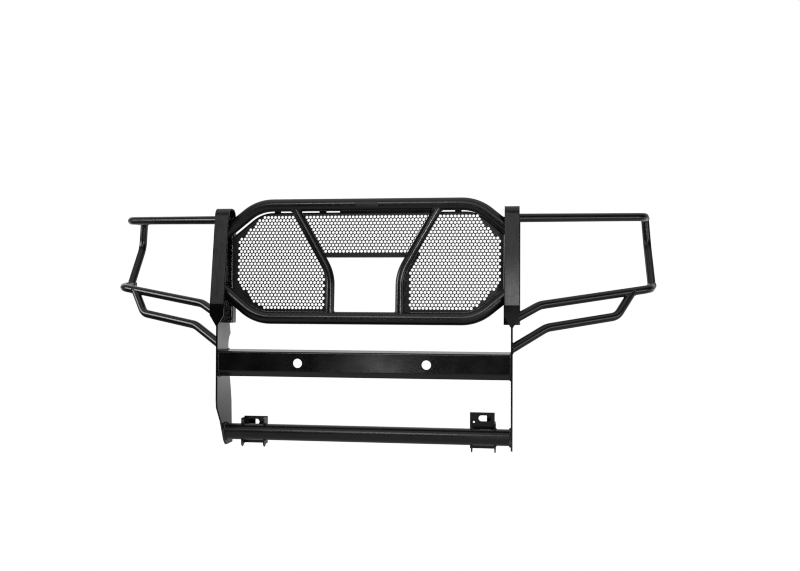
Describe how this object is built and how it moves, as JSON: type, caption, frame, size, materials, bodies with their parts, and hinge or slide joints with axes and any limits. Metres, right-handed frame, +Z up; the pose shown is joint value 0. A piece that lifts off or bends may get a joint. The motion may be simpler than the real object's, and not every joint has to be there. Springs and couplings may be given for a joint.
{
  "type": "grille guard",
  "caption": "Welded tubular grille guard for a pickup truck, with punched mesh, padded uprights, wrap-around headlight guards and frame brackets.",
  "frame": {"origin": "midway between the crossbar's two holes, on the crossbar's front face", "axes": "+X across the truck, towards the viewer's right when facing the guard; +Y towards the rear of the truck; +Z up"},
  "size_m": [2.119, 0.6164, 0.884],
  "materials": {
    "powder_coat": "semi-gloss black powder coat on steel",
    "punched_sheet": "satin black powder coat on punched steel sheet",
    "pad_rubber": "matt grey-black rubber"
  },
  "bodies": {
    "root": {"centre_bar": "powder_coat", "centre_mesh_panel": "punched_sheet", "crossbar": "powder_coat", "left_brace_tube": "powder_coat", "left_corner_post": "powder_coat", "left_end_caps": "powder_coat", "left_frame_angle": "powder_coat", "left_loop_strap": "powder_coat", "left_lower_rail": "powder_coat", "left_mesh_panel": "punched_sheet", "left_mount_bracket": "powder_coat", "left_rear_post": "powder_coat", "left_rubber_pad": "pad_rubber", "left_top_rail": "powder_coat", "left_upright_plate": "powder_coat", "left_vee_tube": "powder_coat", "lower_hoop": "powder_coat", "lower_pipe": "powder_coat", "right_brace_tube": "powder_coat", "right_corner_post": "powder_coat", "right_end_caps": "powder_coat", "right_frame_angle": "powder_coat", "right_loop_strap": "powder_coat", "right_lower_rail": "powder_coat", "right_mesh_panel": "punched_sheet", "right_mount_bracket": "powder_coat", "right_rear_post": "powder_coat", "right_rubber_pad": "pad_rubber", "right_top_rail": "powder_coat", "right_upright_plate": "powder_coat", "right_vee_tube": "powder_coat", "upper_hoop": "powder_coat"}
  },
  "joints": []
}
